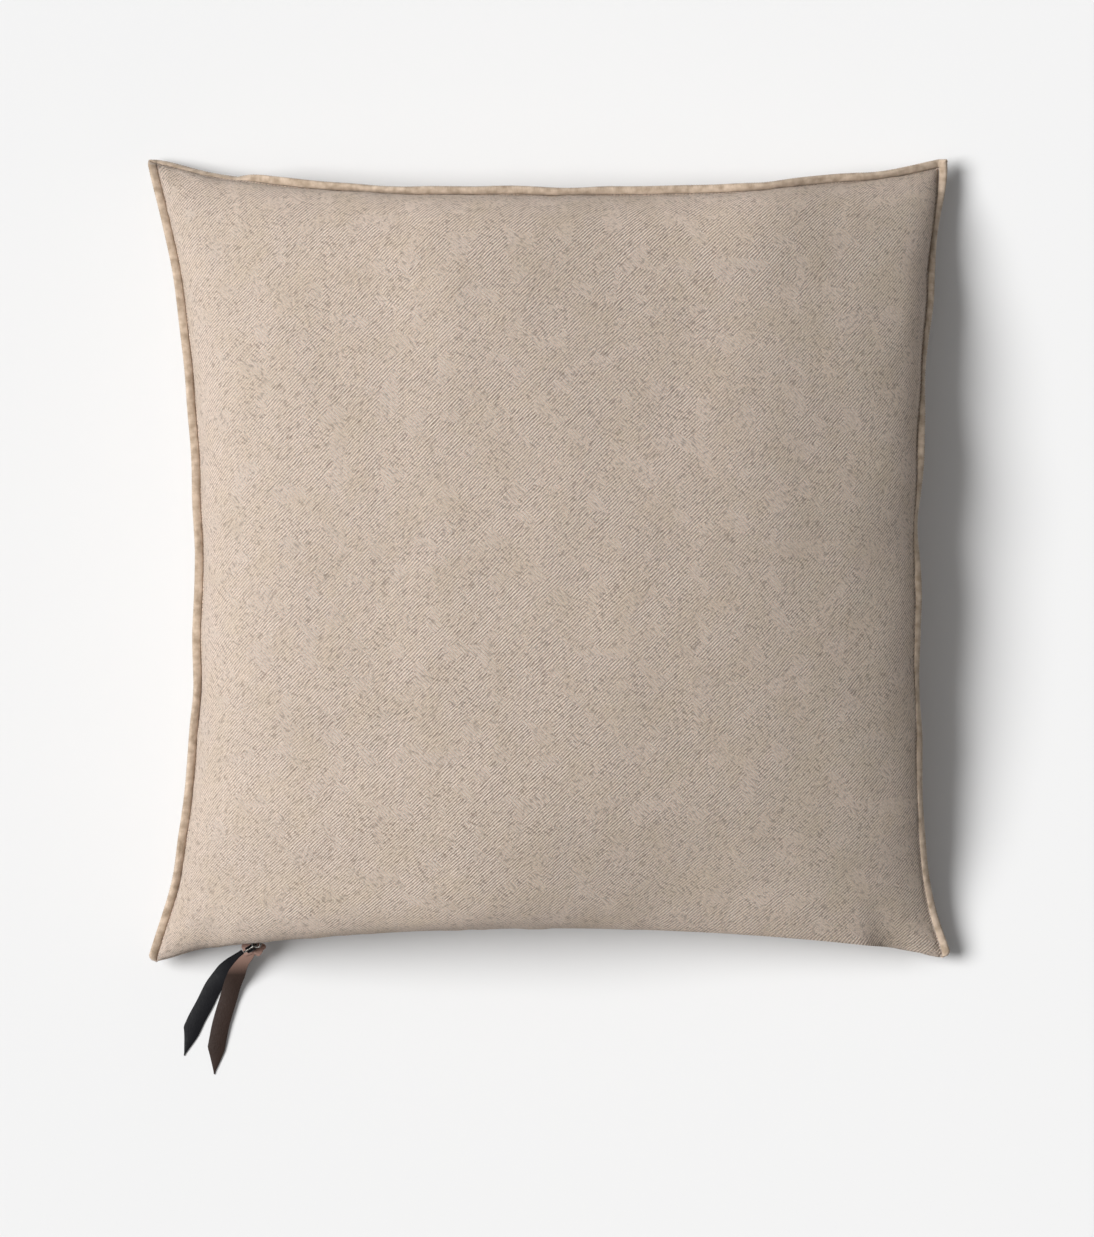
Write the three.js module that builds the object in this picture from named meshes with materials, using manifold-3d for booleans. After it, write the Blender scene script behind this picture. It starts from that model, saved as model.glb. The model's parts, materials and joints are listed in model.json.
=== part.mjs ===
import * as THREE from 'three';
import { mergeVertices } from 'three/addons/utils/BufferGeometryUtils.js';
import Module from 'manifold-3d';

const wasm = await Module();
wasm.setup();

// A square floor cushion: a linen cover that opens on a zip along its front edge, round a feather
// insert. Millimetres, +Z up. The origin is on the floor under the middle of the cover. The zip
// edge faces -Y, and the zip is closed with its slider at the -X end.

// ---- Driving dimensions ----

const coverWidth = 637; // corner tip to corner tip along X
const coverDepth = 637; // the same along Y
const crownHeight = 190; // floor to the top of the crown
const seamHeight = 78; // floor to the seam in the middle of the left, right and rear sides
const cornerHeight = 18; // floor to the seam at a corner
const zipHeight = 72; // floor to the zip in the middle of the front side
const cloth = 0.8; // thickness of the linen
const fit = 0.3; // gap between two pieces that touch

const sideDraw = { left: 36, right: 22, rear: 23, front: 22 }; // how far each side pulls in at its middle
const sideBow = { left: [2.2, 2.2], right: [5, 1.7], rear: [2.8, 2.8] }; // how late it does so, at each end

const flangeWidth = 6; // seam allowance that stands out past the stitch line
const edgingWall = 0.7; // thickness of the overlock thread round the seam allowance
const edgingStart = 1.5; // bare allowance between the stitch line and the thread

const crownPower = 0.8; // below 1, the crown is flatter on top and steeper at its sides
const bellyDepth = 110; // how far the underside would hang without a floor

const zipLength = 496; // stop to stop, along the zip
const zipLean = THREE.MathUtils.degToRad(27); // turns the zip's face from the arc's plane to the front
const hemWidth = 10; // turned hem on each side of the zip
const closedLip = 1.2; // how far the closed seam beyond the zip's ends stands out
const closingRun = 32; // length over which the hems come together beyond the zip's ends
const tapeThickness = 0.6;
const tapeRoom = 0.8; // hem's back to the tape, room for its turning
const beadReach = 4.2; // middle of the zip to the outside of the bead under its teeth
const toothTip = 1.3; // middle of the zip to the tips of the teeth
const toothRoot = 2.4; // middle of the zip to the gaps between them
const toothThickness = 3;
const toothPitch = 4.8;
const stopLength = 3;

const sliderLength = 14;
const plateThickness = 1.4;
const runClearance = 0.4; // slider to teeth, tape and stops
const railWidth = 0.8;
const postLength = 2.2;
const hemClearance = 1; // slider to hem
const bridgeSpan = 5.2; // room under the slider's bridge, along the zip
const bridgeRoom = 3; // room under the slider's bridge, out from the plate
const bridgeBar = 1.4;
const bridgeWidth = 2.4;

const ringWire = 1.6;
const ringLength = 13.2;
const ringWidth = 8;
const ringHeading = THREE.MathUtils.degToRad(66); // from straight out towards the closed end

const leather = 1.4; // thickness of the tie's leather
const loopWidth = 5; // the tie's width where it hangs on the ring
const loopPlay = 0.4;
const loopDrop = 7; // ring wire to the end of the loop's legs
const knotSize = { x: 19, y: 9.6, z: 11 };
const tailWidth = 14;
const tailNeck = 7; // a tail's width as it leaves the knot
const tailPoint = 20; // length of a tail's pointed end

const insertScale = 0.955; // the insert's case inside the cover
const fillingScale = 0.925; // the filling inside that case
const insertCentreHeight = 72; // the point that the insert is a smaller copy about
const caseThickness = 0.4;

// ---- Finishes ----

const linen = { color: 0xb8a594, roughness: 0.95, metalness: 0 };
const overlockThread = { color: 0xb09a7c, roughness: 0.9, metalness: 0 };
const zipTape = { color: 0x9a8c7c, roughness: 0.9, metalness: 0 };
const zipMetal = { color: 0x55534f, roughness: 0.35, metalness: 1 };
const blackLeather = { color: 0x17181b, roughness: 0.5, metalness: 0 };
const brownLeather = { color: 0x4a3a31, roughness: 0.6, metalness: 0 };
const insertCloth = { color: 0xeeebe4, roughness: 0.9, metalness: 0 };

// ---- Worked out from the driving dimensions ----

const edgingReach = flangeWidth + fit + edgingWall;
const seamHalf = coverWidth / 2 - edgingReach; // middle to the stitch line, at a corner
const rearHalf = coverDepth / 2 - edgingReach;
const frontHalf = coverDepth / 2 - closedLip;
const clothLift = fit / 2 + cloth; // seam plane to the outside of one layer of the seam allowance
const zipHalf = zipLength / 2;
const sliderHalfWidth = beadReach + runClearance + railWidth;
const hemOpening = sliderHalfWidth + hemClearance;
const hemReach = zipHalf + 10; // the hems stay parallel to the zip this far from its middle
const zipSet = -(cloth + tapeRoom + tapeThickness / 2); // the zip's mid plane, behind the cloth's face
const plateInside = toothThickness / 2 + runClearance;
const plateOutside = plateInside + plateThickness;
const sliderRest = -(zipHalf - stopLength - runClearance - sliderLength / 2);

const group = new THREE.Group();

function addMesh(name, geometry, finish, parent = group) {
  const mesh = new THREE.Mesh(geometry, new THREE.MeshStandardMaterial(finish));
  mesh.name = name;
  parent.add(mesh);
  return mesh;
}

// Moves each vertex of a plain shape to its place on a bent one.
function reshape(geometry, place) {
  const positions = geometry.attributes.position;
  const vertex = new THREE.Vector3();
  for (let i = 0; i < positions.count; i += 1) {
    vertex.copy(place(vertex.fromBufferAttribute(positions, i).clone()));
    positions.setXYZ(i, vertex.x, vertex.y, vertex.z);
  }
  geometry.computeVertexNormals();
  return geometry;
}

function solidOf(geometry) {
  const bare = geometry.clone();
  bare.deleteAttribute('normal');
  bare.deleteAttribute('uv');
  const merged = mergeVertices(bare);
  return new wasm.Manifold(new wasm.Mesh({
    numProp: 3,
    vertProperties: new Float32Array(merged.attributes.position.array),
    triVerts: new Uint32Array(merged.index.array),
  }));
}

function joined(geometries) {
  const solid = geometries.map(solidOf).reduce((sum, next) => sum.add(next));
  const mesh = solid.getMesh();
  const geometry = new THREE.BufferGeometry();
  geometry.setAttribute('position', new THREE.BufferAttribute(mesh.vertProperties, 3));
  geometry.setIndex(new THREE.BufferAttribute(mesh.triVerts, 1));
  geometry.computeVertexNormals();
  return geometry;
}

// A box between two corners, in any order.
function blockBetween(a, b) {
  const size = a.map((value, axis) => Math.abs(b[axis] - value));
  const middle = a.map((value, axis) => (b[axis] + value) / 2);
  return new THREE.BoxGeometry(...size).translate(...middle);
}

// ---- The zip's arc ----
// The whole front edge is one arc in a leaning plane. It is low and far out at the corners, and
// higher and drawn in at its middle, so a slider that turns about the arc's centre follows the zip.

const frontMiddle = frontHalf - sideDraw.front;
const arcDrop = new THREE.Vector3(0, sideDraw.front, zipHeight - cornerHeight);
const arcSagitta = arcDrop.length();
const arcRadius = (seamHalf ** 2 + arcSagitta ** 2) / (2 * arcSagitta);
const arcUp = arcDrop.clone().normalize();
const arcAxis = new THREE.Vector3(1, 0, 0).cross(arcUp);
const arcCentre = new THREE.Vector3(0, -frontMiddle, zipHeight).addScaledVector(arcUp, -arcRadius);

// Directions at a run along the arc: along it, across it from the lower tape to the upper, and out.
function zipFrame(run) {
  const angle = run / arcRadius;
  const radial = arcUp.clone().multiplyScalar(Math.cos(angle));
  radial.x += Math.sin(angle);
  const along = arcUp.clone().multiplyScalar(-Math.sin(angle));
  along.x += Math.cos(angle);
  const across = radial.clone().multiplyScalar(Math.cos(zipLean));
  across.addScaledVector(arcAxis, Math.sin(zipLean));
  const out = arcAxis.clone().multiplyScalar(Math.cos(zipLean));
  out.addScaledVector(radial, -Math.sin(zipLean));
  const origin = arcCentre.clone().addScaledVector(radial, arcRadius);
  return { origin, along, across, out };
}

function onZip(run, across, out) {
  const frame = zipFrame(run);
  return frame.origin.addScaledVector(frame.across, across).addScaledVector(frame.out, out);
}

// 1 where the cover opens for the zip, falling smoothly to 0 beyond its ends.
function openness(run) {
  return 1 - THREE.MathUtils.smoothstep(Math.abs(run), hemReach, hemReach + closingRun);
}

// ---- The cover's seam and panels ----
// A side is followed by t, from -1 to 1: towards +X on the front and rear, towards +Y on the others.

function seamRise(t) {
  return cornerHeight + (seamHeight - cornerHeight) * (1 - Math.abs(t) ** 2.4);
}

function drawIn(side, t) {
  const bow = sideBow[side][t < 0 ? 0 : 1];
  return sideDraw[side] * (1 - Math.abs(t) ** bow);
}

function seamPoint(side, t) {
  const alongDepth = THREE.MathUtils.lerp(-frontHalf, rearHalf, (t + 1) / 2);
  if (side === 'left') return new THREE.Vector3(-seamHalf + drawIn('left', t), alongDepth, seamRise(t));
  if (side === 'right') return new THREE.Vector3(seamHalf - drawIn('right', t), alongDepth, seamRise(t));
  return new THREE.Vector3(seamHalf * t, rearHalf - drawIn('rear', t), seamRise(t));
}

function frontRun(t) {
  return arcRadius * Math.asin((seamHalf * t) / arcRadius);
}

// Where a panel's front hem starts: face is 1 on the upper panel, -1 on the lower.
function frontRim(t, face) {
  const run = frontRun(t);
  const open = openness(run);
  const point = onZip(run, face * open * (hemOpening + hemWidth), 0);
  point.z += face * clothLift * (1 - open);
  return point;
}

// From there to the hem's edge.
function frontHem(t, face) {
  const run = frontRun(t);
  const open = openness(run);
  const edge = onZip(run, face * open * hemOpening, (1 - open) * closedLip);
  edge.z += face * clothLift * (1 - open);
  return edge.sub(frontRim(t, face));
}

// The outside of a panel for u and v from -1 to 1: the four rims blended, plus the crown or belly.
function panelPoint(u, v, face) {
  const front = frontRim(u, face);
  const rear = seamPoint('rear', u);
  const left = seamPoint('left', v);
  const right = seamPoint('right', v);
  const blend = (axis) => {
    const lengthwise = (1 - v) * front[axis] + (1 + v) * rear[axis];
    const crosswise = (1 - u) * left[axis] + (1 + u) * right[axis];
    const west = ((1 - v) * seamPoint('left', -1)[axis] + (1 + v) * seamPoint('left', 1)[axis]) / 2;
    const east = ((1 - v) * seamPoint('right', -1)[axis] + (1 + v) * seamPoint('right', 1)[axis]) / 2;
    return (lengthwise + crosswise - (1 - u) * west - (1 + u) * east) / 2;
  };
  const seamLevel = cornerHeight + (seamHeight - cornerHeight) * (1 - Math.abs(u * v) ** 2.4);
  const frontLift = front.z - seamRise(u) - face * clothLift;
  const rim = seamLevel + face * clothLift + frontLift * ((1 - v) / 2) ** 3;
  const swell = (Math.sqrt((1 - u * u) * (1 - v * v))) ** crownPower;
  const height = face > 0
    ? rim + (crownHeight - seamHeight - clothLift) * swell
    : Math.max(0, rim - bellyDepth * swell);
  return new THREE.Vector3(blend('x'), blend('y'), height);
}

const panelCells = 16;
const rimStep = (index) => Math.sin((index / panelCells - 0.5) * Math.PI);
const sideOut = {
  left: new THREE.Vector3(-1, 0, 0),
  right: new THREE.Vector3(1, 0, 0),
  rear: new THREE.Vector3(0, 1, 0),
};

// The panel's points by index, where -1 and panelCells + 1 are the outer edge of the seam allowance.
function panelGrid(face) {
  const clampIndex = (index) => THREE.MathUtils.clamp(index, 0, panelCells);
  return (i, j) => {
    const point = panelPoint(rimStep(clampIndex(i)), rimStep(clampIndex(j)), face);
    if (i < 0) point.addScaledVector(sideOut.left, flangeWidth);
    if (i > panelCells) point.addScaledVector(sideOut.right, flangeWidth);
    if (j > panelCells) point.addScaledVector(sideOut.rear, flangeWidth);
    if (j < 0) point.add(frontHem(rimStep(clampIndex(i)), face));
    return point;
  };
}

// A slab of square cells whose underside is cut into triangles along the same diagonals as its top.
function slab(cells) {
  const box = new THREE.BoxGeometry(cells, cells, 2, cells, cells, 1);
  const underside = box.groups[5];
  for (let at = underside.start; at < underside.start + underside.count; at += 6) {
    const [a, b, d, , c] = box.index.array.slice(at, at + 6);
    box.index.array.set([a, b, c, a, c, d], at);
  }
  return box;
}

// A shell of one thickness under a grid of points whose indices run from first to last.
function shell(grid, first, last, thickness, face) {
  const size = last - first;
  const clampIndex = (index) => THREE.MathUtils.clamp(index, first, last);
  const outward = (i, j) => {
    const alongX = grid(clampIndex(i + 1), j).sub(grid(clampIndex(i - 1), j));
    const alongY = grid(i, clampIndex(j + 1)).sub(grid(i, clampIndex(j - 1)));
    return alongX.cross(alongY).normalize().multiplyScalar(face);
  };
  return reshape(slab(size), (vertex) => {
    const i = Math.round(vertex.x + size / 2) + first;
    const j = Math.round(vertex.y + size / 2) + first;
    const point = grid(i, j);
    return Math.sign(vertex.z) === face ? point : point.addScaledVector(outward(i, j), -thickness);
  });
}

function addCoverPanels() {
  addMesh('cover_top_panel', shell(panelGrid(1), -1, panelCells + 1, cloth, 1), linen);
  addMesh('cover_bottom_panel', shell(panelGrid(-1), -1, panelCells + 1, cloth, -1), linen);
}

// ---- The overlock edging round the seam allowance ----

function edgingSection() {
  const slot = clothLift + fit;
  const outside = slot + edgingWall;
  const slotEnd = flangeWidth + fit;
  return new THREE.Shape([
    new THREE.Vector2(edgingStart, -outside),
    new THREE.Vector2(edgingReach, -outside),
    new THREE.Vector2(edgingReach, outside),
    new THREE.Vector2(edgingStart, outside),
    new THREE.Vector2(edgingStart, slot),
    new THREE.Vector2(slotEnd, slot),
    new THREE.Vector2(slotEnd, -slot),
    new THREE.Vector2(edgingStart, -slot),
  ]);
}

// The way out from the seam at an index along a side. Past the last index it is a rear corner's mitre.
function allowanceOut(side, index) {
  const out = sideOut[side].clone();
  if (side !== 'rear' && index > panelCells) out.add(sideOut.rear);
  if (side === 'rear' && index < 0) out.add(sideOut.left);
  if (side === 'rear' && index > panelCells) out.add(sideOut.right);
  return out;
}

function addEdging(side) {
  const first = side === 'rear' ? -1 : 0;
  const last = panelCells + 1;
  const steps = last - first;
  const strip = new THREE.ExtrudeGeometry(edgingSection(), { depth: 1, steps, bevelEnabled: false });
  const alongSide = side === 'rear' ? new THREE.Vector3(1, 0, 0) : new THREE.Vector3(0, 1, 0);
  reshape(strip, (vertex) => {
    const step = Math.round(vertex.z * steps);
    const index = side === 'right' ? last - step : first + step;
    const point = seamPoint(side, rimStep(THREE.MathUtils.clamp(index, 0, panelCells)));
    point.addScaledVector(allowanceOut(side, index), vertex.x);
    point.z += vertex.y;
    if (index === first) point.addScaledVector(alongSide, fit);
    if (index === last) point.addScaledVector(alongSide, -fit);
    return point;
  });
  addMesh(`edging_${side}`, strip, overlockThread);
}

// ---- The insert ----

const insertCells = panelCells / 2;
const insertCentre = new THREE.Vector3(0, 0, insertCentreHeight);

function insertGrid(face, scale) {
  return (i, j) => {
    const point = panelPoint(rimStep(2 * i), rimStep(2 * j), face).sub(insertCentre);
    return point.multiplyScalar(scale).add(insertCentre);
  };
}

function addInsert() {
  const caseHalf = (face) => shell(insertGrid(face, insertScale), 0, insertCells, caseThickness, face);
  addMesh('insert_case_top', caseHalf(1), insertCloth);
  addMesh('insert_case_bottom', caseHalf(-1), insertCloth);
  const upper = insertGrid(1, fillingScale);
  const lower = insertGrid(-1, fillingScale);
  const fillingCells = insertCells - 2; // the feathers don't reach into the case's seam
  const filling = reshape(slab(fillingCells), (vertex) => {
    const i = Math.round(vertex.x + fillingCells / 2) + 1;
    const j = Math.round(vertex.y + fillingCells / 2) + 1;
    return vertex.z > 0 ? upper(i, j) : lower(i, j);
  });
  addMesh('insert_filling', filling, insertCloth);
}

// ---- The zip ----

// A bar that follows the zip: from and to are runs, and section gives its four sides at each step.
function zipBar(from, to, steps, section) {
  return reshape(new THREE.BoxGeometry(steps, 2, 2, steps, 1, 1), (vertex) => {
    const step = Math.round(vertex.x + steps / 2);
    const { inner, outer, back, front } = section(step);
    const run = THREE.MathUtils.lerp(from, to, step / steps);
    return onZip(run, vertex.y > 0 ? outer : inner, zipSet + (vertex.z > 0 ? front : back));
  });
}

function zipPiece(from, to, steps, inner, outer, thickness) {
  return zipBar(from, to, steps, () => ({ inner, outer, back: -thickness / 2, front: thickness / 2 }));
}

function addZipHalf(name, face) {
  const tapeInner = beadReach + fit;
  const tapeOuter = hemOpening + hemWidth - cloth;
  const tapeEnd = zipHalf + 6;
  const sides = (a, b) => (face > 0 ? [a, b] : [-b, -a]);
  const tape = zipPiece(-tapeEnd, tapeEnd, 24, ...sides(tapeInner, tapeOuter), tapeThickness);
  addMesh(`zip_tape_${name}`, tape, zipTape);
  const chainHalf = zipHalf - stopLength - fit;
  const ribs = Math.round(chainHalf / toothPitch);
  const chain = zipBar(-chainHalf, chainHalf, 4 * ribs, (step) => {
    const tip = step % 2 === (face > 0 ? 0 : 1) ? toothTip : toothRoot;
    const [inner, outer] = sides(tip, beadReach);
    return { inner, outer, back: -toothThickness / 2, front: toothThickness / 2 };
  });
  addMesh(`zip_chain_${name}`, chain, zipMetal);
  const stop = zipPiece(-zipHalf, -zipHalf + stopLength, 1, ...sides(toothTip, beadReach), toothThickness);
  addMesh(`zip_top_stop_${name}`, stop, zipMetal);
}

function addZip() {
  addZipHalf('upper', 1);
  addZipHalf('lower', -1);
  const bottomStop = zipPiece(zipHalf - stopLength, zipHalf, 1, -beadReach, beadReach, toothThickness);
  addMesh('zip_bottom_stop', bottomStop, zipMetal);
}

// ---- The slider and its ring ----
// Both are made flat in their own directions and stand in a group that holds their place.

function groupAt(origin, xAxis, yAxis, zAxis) {
  const holder = new THREE.Group();
  holder.position.copy(origin);
  holder.quaternion.setFromRotationMatrix(new THREE.Matrix4().makeBasis(xAxis, yAxis, zAxis));
  group.add(holder);
  return holder;
}

const sliderFrame = zipFrame(sliderRest);
const sliderCentre = onZip(sliderRest, 0, zipSet);

function plateOutline() {
  const half = sliderLength / 2;
  const nose = sliderHalfWidth * 0.75;
  return new THREE.Shape([
    new THREE.Vector2(-half, -nose),
    new THREE.Vector2(-half + 3, -sliderHalfWidth),
    new THREE.Vector2(half - 5, -sliderHalfWidth),
    new THREE.Vector2(half, -nose),
    new THREE.Vector2(half, nose),
    new THREE.Vector2(half - 5, sliderHalfWidth),
    new THREE.Vector2(-half + 3, sliderHalfWidth),
    new THREE.Vector2(-half, nose),
  ]);
}

function addSlider() {
  const plateCut = { depth: plateThickness, bevelEnabled: false };
  const plate = () => new THREE.ExtrudeGeometry(plateOutline(), plateCut);
  const half = sliderLength / 2;
  const sunk = 0.2; // how far the pieces of the casting run into each other
  const pieces = [
    plate().translate(0, 0, plateInside),
    plate().translate(0, 0, -plateOutside),
    blockBetween(
      [-half + 0.6, -toothTip + runClearance, -plateInside - sunk],
      [-half + 0.6 + postLength, toothTip - runClearance, plateInside + sunk],
    ),
  ];
  const railInner = beadReach + runClearance;
  const slot = tapeThickness / 2 + runClearance;
  for (const side of [-1, 1]) {
    for (const face of [-1, 1]) {
      pieces.push(blockBetween(
        [-half + 3.2, side * railInner, face * slot],
        [half - 5.2, side * sliderHalfWidth, face * (plateInside + sunk)],
      ));
    }
    pieces.push(blockBetween(
      [side * (bridgeSpan / 2), -bridgeWidth / 2, plateOutside - sunk],
      [side * (bridgeSpan / 2 + bridgeBar), bridgeWidth / 2, plateOutside + bridgeRoom + bridgeBar],
    ));
  }
  pieces.push(blockBetween(
    [-bridgeSpan / 2 - sunk, -bridgeWidth / 2, plateOutside + bridgeRoom],
    [bridgeSpan / 2 + sunk, bridgeWidth / 2, plateOutside + bridgeRoom + bridgeBar],
  ));
  const holder = groupAt(sliderCentre, sliderFrame.along, sliderFrame.across, sliderFrame.out);
  addMesh('zip_slider', joined(pieces), zipMetal, holder);
}

// The ring's own directions: heading away from the slider, across as on the zip, and through the ring.
const ringPivot = sliderCentre.clone().addScaledVector(sliderFrame.out, plateOutside + bridgeRoom / 2);
const ringOut = sliderFrame.out.clone().multiplyScalar(Math.cos(ringHeading));
ringOut.addScaledVector(sliderFrame.along, -Math.sin(ringHeading));
const ringThrough = ringOut.clone().cross(sliderFrame.across);

function roundedBox2d(target, x0, x1, halfHeight, radius) {
  target.moveTo(x0 + radius, -halfHeight);
  target.lineTo(x1 - radius, -halfHeight);
  target.absarc(x1 - radius, -halfHeight + radius, radius, -Math.PI / 2, 0);
  target.lineTo(x1, halfHeight - radius);
  target.absarc(x1 - radius, halfHeight - radius, radius, 0, Math.PI / 2);
  target.lineTo(x0 + radius, halfHeight);
  target.absarc(x0 + radius, halfHeight - radius, radius, Math.PI / 2, Math.PI);
  target.lineTo(x0, -halfHeight + radius);
  target.absarc(x0 + radius, -halfHeight + radius, radius, Math.PI, Math.PI * 1.5);
  return target;
}

function addRing() {
  const start = -ringWire / 2;
  const outline = roundedBox2d(new THREE.Shape(), start, start + ringLength, ringWidth / 2, ringWire);
  const hole = roundedBox2d(
    new THREE.Path(), start + ringWire, start + ringLength - ringWire, ringWidth / 2 - ringWire, ringWire / 3,
  );
  outline.holes.push(hole);
  const ring = new THREE.ExtrudeGeometry(outline, { depth: ringWire, bevelEnabled: false, curveSegments: 3 });
  ring.translate(0, 0, -ringWire / 2);
  addMesh('pull_ring', ring, zipMetal, groupAt(ringPivot, ringOut, sliderFrame.across, ringThrough));
}

// ---- The leather tie ----
// One strip hangs on the ring's lower wire, is knotted under it, and ends in two pointed tails.

const loopMiddle = ringLength - ringWire * 1.5 - loopWidth / 2 - loopPlay; // along the ring from its pivot
const wireLevel = -(ringWidth - ringWire) / 2;
const knotDrop = -wireLevel + loopDrop + fit + knotSize.z / 2;

// A place under the middle of the loop, by its height across the zip.
function underLoop(across) {
  return ringPivot.clone().addScaledVector(ringOut, loopMiddle).addScaledVector(sliderFrame.across, across);
}

const knotCentre = underLoop(-knotDrop);

function addTieLoop() {
  const inside = ringWire / 2 + loopPlay;
  const outside = inside + leather;
  const legEnd = -loopDrop;
  const outline = new THREE.Shape();
  outline.moveTo(inside, legEnd);
  outline.lineTo(outside, legEnd);
  outline.lineTo(outside, 0);
  outline.absarc(0, 0, outside, 0, Math.PI);
  outline.lineTo(-outside, legEnd);
  outline.lineTo(-inside, legEnd);
  outline.lineTo(-inside, 0);
  outline.absarc(0, 0, inside, Math.PI, 0, true);
  const loopCut = { depth: loopWidth, bevelEnabled: false, curveSegments: 6 };
  const loop = new THREE.ExtrudeGeometry(outline, loopCut).translate(0, 0, -loopWidth / 2);
  const through = ringThrough.clone().negate();
  const holder = groupAt(underLoop(wireLevel), through, sliderFrame.across, ringOut);
  addMesh('tie_loop', loop, blackLeather, holder);
}

function addTieKnot() {
  const knot = new THREE.SphereGeometry(1, 16, 10).scale(knotSize.x / 2, knotSize.y / 2, knotSize.z / 2);
  const mesh = addMesh('tie_knot', knot, brownLeather);
  mesh.position.copy(knotCentre);
}

// A tail's middle line: steps in X and Y from the knot's middle, and the height over the floor.
const blackTailRoute = [
  [-8, -5, 19], [-13, -9, 14], [-19, -15, 6], [-26, -24, 1.6], [-33, -35, 0.9], [-40, -48, 0.9],
  [-46, -61, 0.9], [-51, -74, 0.9], [-54, -86, 0.9],
];
const brownTailRoute = [
  [-4, -7, 23.5], [-8, -12, 20], [-12, -20, 12.5], [-15, -31, 5.6], [-18, -44, 3.6], [-21, -58, 3.3],
  [-24, -71, 2.6], [-27, -85, 1.3], [-29, -101, 0.9],
];

function addTail(name, route, finish) {
  const points = route.map(([dx, dy, z]) => new THREE.Vector3(knotCentre.x + dx, knotCentre.y + dy, z));
  const middle = new THREE.CatmullRomCurve3(points, false, 'centripetal');
  const length = middle.getLength();
  const steps = 24;
  const up = new THREE.Vector3(0, 0, 1);
  const strip = reshape(new THREE.BoxGeometry(steps, 2, 2, steps, 1, 1), (vertex) => {
    const at = Math.round(vertex.x + steps / 2) / steps;
    const along = middle.getTangentAt(at);
    const side = up.clone().cross(along).normalize();
    const face = along.clone().cross(side).normalize();
    const spread = THREE.MathUtils.smoothstep(at * length, 0, tailPoint);
    const pointed = Math.min(1, (1 - at) * (length / tailPoint) + 0.05);
    const width = THREE.MathUtils.lerp(tailNeck, tailWidth, spread) * pointed;
    const point = middle.getPointAt(at);
    return point.addScaledVector(side, (Math.sign(vertex.y) * width) / 2)
      .addScaledVector(face, (Math.sign(vertex.z) * leather) / 2);
  });
  addMesh(name, strip, finish);
}

addCoverPanels();
for (const side of ['left', 'right', 'rear']) addEdging(side);
addInsert();
addZip();
addSlider();
addRing();
addTieLoop();
addTieKnot();
addTail('tie_tail_black', blackTailRoute, blackLeather);
addTail('tie_tail_brown', brownTailRoute, brownLeather);

export default group;
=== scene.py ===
import json
import math

import bmesh
import bpy
import numpy as np
from mathutils import Matrix, Vector, noise


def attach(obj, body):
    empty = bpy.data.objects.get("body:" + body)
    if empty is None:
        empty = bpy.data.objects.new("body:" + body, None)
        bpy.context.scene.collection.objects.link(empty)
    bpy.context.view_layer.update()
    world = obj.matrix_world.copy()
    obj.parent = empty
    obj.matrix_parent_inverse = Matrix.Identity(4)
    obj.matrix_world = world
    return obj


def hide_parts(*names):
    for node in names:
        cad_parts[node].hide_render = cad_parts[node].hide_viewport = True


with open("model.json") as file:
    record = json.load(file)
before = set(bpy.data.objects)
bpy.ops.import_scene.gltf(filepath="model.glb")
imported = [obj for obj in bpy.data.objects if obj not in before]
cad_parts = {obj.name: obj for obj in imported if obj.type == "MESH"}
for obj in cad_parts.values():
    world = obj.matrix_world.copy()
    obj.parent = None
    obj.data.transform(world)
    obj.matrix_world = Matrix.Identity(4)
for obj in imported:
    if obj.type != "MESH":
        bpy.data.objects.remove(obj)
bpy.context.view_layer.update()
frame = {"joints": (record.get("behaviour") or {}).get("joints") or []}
scene = bpy.context.scene
mm = 0.001

# Studio: camera straight above, one soft key from the left, a broad fill behind it

studio = {
    "cameraHeight": 16.0,  # over the seam
    "sensorWidth": 36,
    "sightEnd": 50,
    "aim": (-0.0012, -0.0488, 0.078),
    "frameHeight": 0.990,  # what the view spans at the aim's level
    # Strength, then degrees over the floor, from the left towards the rear, and of softness
    "key": (4.25, 52, 9, 32),
    "fill": (0.42, 65, 9, 70),
    "skyStrength": 0.11,
    "floorTone": 0.65,
    "floorGlow": 0.06,  # painted light: the floor glows though it is no lamp, which keeps it white and lightens the shadow beside the cushion
    "floorHalf": 20,
    "backdropTone": 0.88,
}


def addSun(name, strength, height, turn, spread):
    lamp = bpy.data.lights.new(name, "SUN")
    lamp.energy = strength
    lamp.angle = math.radians(spread)
    holder = bpy.data.objects.new(name, lamp)
    rise, side = math.radians(height), math.radians(turn)
    level = math.cos(rise)
    towards = Vector((-math.cos(side) * level, math.sin(side) * level, math.sin(rise)))
    holder.rotation_euler = towards.to_track_quat("Z", "Y").to_euler()
    scene.collection.objects.link(holder)


def addStudio():
    lens = bpy.data.cameras.new("camera")
    lens.sensor_width = studio["sensorWidth"]
    lens.lens = studio["sensorWidth"] * studio["cameraHeight"] / studio["frameHeight"]
    lens.clip_end = studio["sightEnd"]
    camera = bpy.data.objects.new("camera", lens)
    camera.location = Vector(studio["aim"]) + Vector((0, 0, studio["cameraHeight"]))
    scene.collection.objects.link(camera)
    scene.camera = camera
    addSun("key", *studio["key"])
    addSun("fill", *studio["fill"])
    world = bpy.data.worlds.new("studio")
    scene.world = world
    world.use_nodes = True
    tree = world.node_tree
    seen = tree.nodes.new("ShaderNodeBackground")
    seen.inputs["Color"].default_value = (*(studio["backdropTone"],) * 3, 1)
    sky = tree.nodes["Background"]
    sky.inputs["Color"].default_value = (1, 1, 1, 1)
    sky.inputs["Strength"].default_value = studio["skyStrength"]
    path = tree.nodes.new("ShaderNodeLightPath")
    mix = tree.nodes.new("ShaderNodeMixShader")
    tree.links.new(path.outputs["Is Camera Ray"], mix.inputs[0])
    tree.links.new(sky.outputs[0], mix.inputs[1])
    tree.links.new(seen.outputs[0], mix.inputs[2])
    tree.links.new(mix.outputs[0], tree.nodes["World Output"].inputs[0])
    scene.view_settings.view_transform = "Standard"


# Small helpers for shapes


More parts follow.
